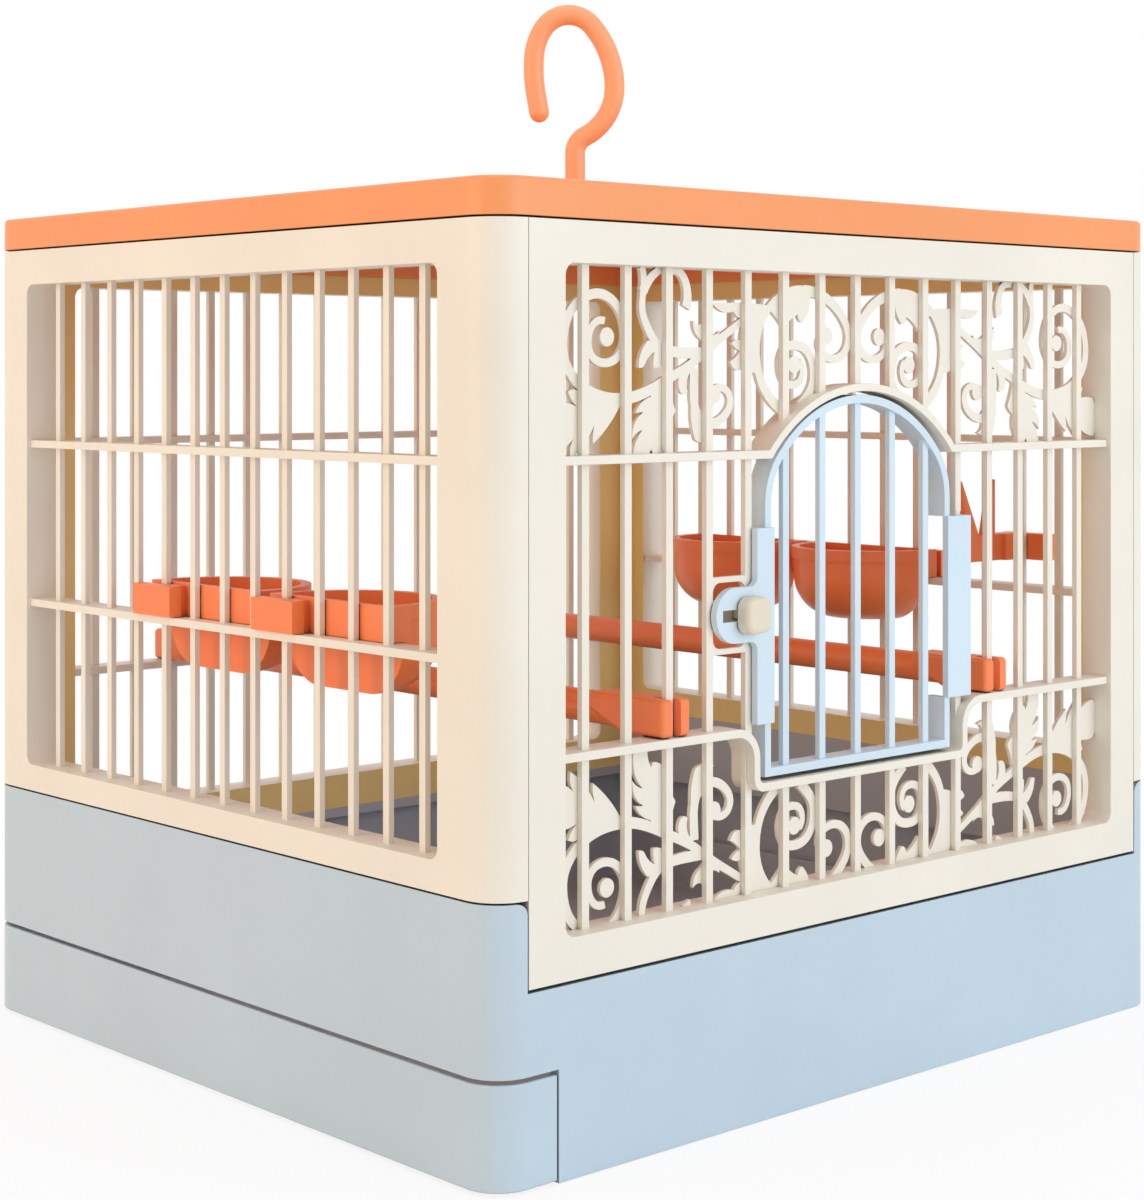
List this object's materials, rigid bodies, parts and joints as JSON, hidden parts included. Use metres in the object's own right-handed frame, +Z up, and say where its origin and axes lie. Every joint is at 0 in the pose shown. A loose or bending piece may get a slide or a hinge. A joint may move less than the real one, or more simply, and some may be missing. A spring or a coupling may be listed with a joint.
{
  "type": "bird transport cage",
  "caption": "Small moulded cage for carrying a pet bird: barred panels, scrollwork front with an arched latching door, pull-out litter drawer, clip-on cups and perches, and a hanging hook.",
  "frame": {"origin": "middle of the base's outline, on its underside", "axes": "+Z up, -Y out of the door side, -X the way the drawer pulls out"},
  "size_m": [0.26, 0.2327, 0.2982],
  "materials": {
    "cream_plastic": "satin",
    "blue_plastic": "satin",
    "orange_plastic": "satin",
    "slate_plastic": "satin"
  },
  "bodies": {
    "cage": {"base": "blue_plastic", "left_panel": "cream_plastic", "right_panel": "cream_plastic", "back_panel": "cream_plastic", "front_frame": "cream_plastic", "front_bars": "cream_plastic", "front_upper_rail": "cream_plastic", "front_lower_rail": "cream_plastic", "upper_scrollwork": "cream_plastic", "lower_scrollwork": "cream_plastic", "latch_keeper": "cream_plastic", "lid": "orange_plastic"},
    "drawer": {"drawer_front": "blue_plastic", "litter_tray": "slate_plastic"},
    "door": {"door": "blue_plastic"},
    "latch": {"latch_knob": "cream_plastic", "latch_bolt": "cream_plastic"},
    "hook": {"hook": "orange_plastic", "hook_retainer": "orange_plastic"},
    "cup_left_front": {"feed_cup_left_front": "orange_plastic"},
    "cup_left_rear": {"feed_cup_left_rear": "orange_plastic"},
    "cup_right_front": {"feed_cup_right_front": "orange_plastic"},
    "cup_right_rear": {"feed_cup_right_rear": "orange_plastic"},
    "perch_left": {"perch_left": "orange_plastic"},
    "perch_right": {"perch_right": "orange_plastic"},
    "fork": {"fruit_fork": "orange_plastic"}
  },
  "joints": [
    {"name": "drawer_slide", "type": "slide", "parent": "cage", "child": "drawer", "axis": [-1, 0, 0], "range_m": [0, 0.2]},
    {"name": "door_hinge", "type": "hinge", "parent": "cage", "child": "door", "pos_m": [0.042, -0.1101, 0.125], "axis": [0, 0, 1], "range_deg": [0, 95]},
    {"name": "latch_slide", "type": "slide", "parent": "door", "child": "latch", "axis": [-1, 0, 0], "range_m": [0, 0.006]},
    {"name": "hook_swivel", "type": "hinge", "parent": "cage", "child": "hook", "pos_m": [0, 0, 0.23], "axis": [0, 0, 1], "continuous": true},
    {"name": "cup_left_front_lift", "type": "slide", "parent": "cage", "child": "cup_left_front", "axis": [0, 0, 1], "range_m": [0, 0.03]},
    {"name": "cup_left_rear_lift", "type": "slide", "parent": "cage", "child": "cup_left_rear", "axis": [0, 0, 1], "range_m": [0, 0.03]},
    {"name": "cup_right_front_lift", "type": "slide", "parent": "cage", "child": "cup_right_front", "axis": [0, 0, 1], "range_m": [0, 0.03]},
    {"name": "cup_right_rear_lift", "type": "slide", "parent": "cage", "child": "cup_right_rear", "axis": [0, 0, 1], "range_m": [0, 0.03]},
    {"name": "perch_left_lift", "type": "slide", "parent": "cage", "child": "perch_left", "axis": [0, 0, 1], "range_m": [0, 0.05]},
    {"name": "perch_right_lift", "type": "slide", "parent": "cage", "child": "perch_right", "axis": [0, 0, 1], "range_m": [0, 0.05]},
    {"name": "fork_lift", "type": "slide", "parent": "cage", "child": "fork", "axis": [0, 0, 1], "range_m": [0, 0.025]}
  ]
}
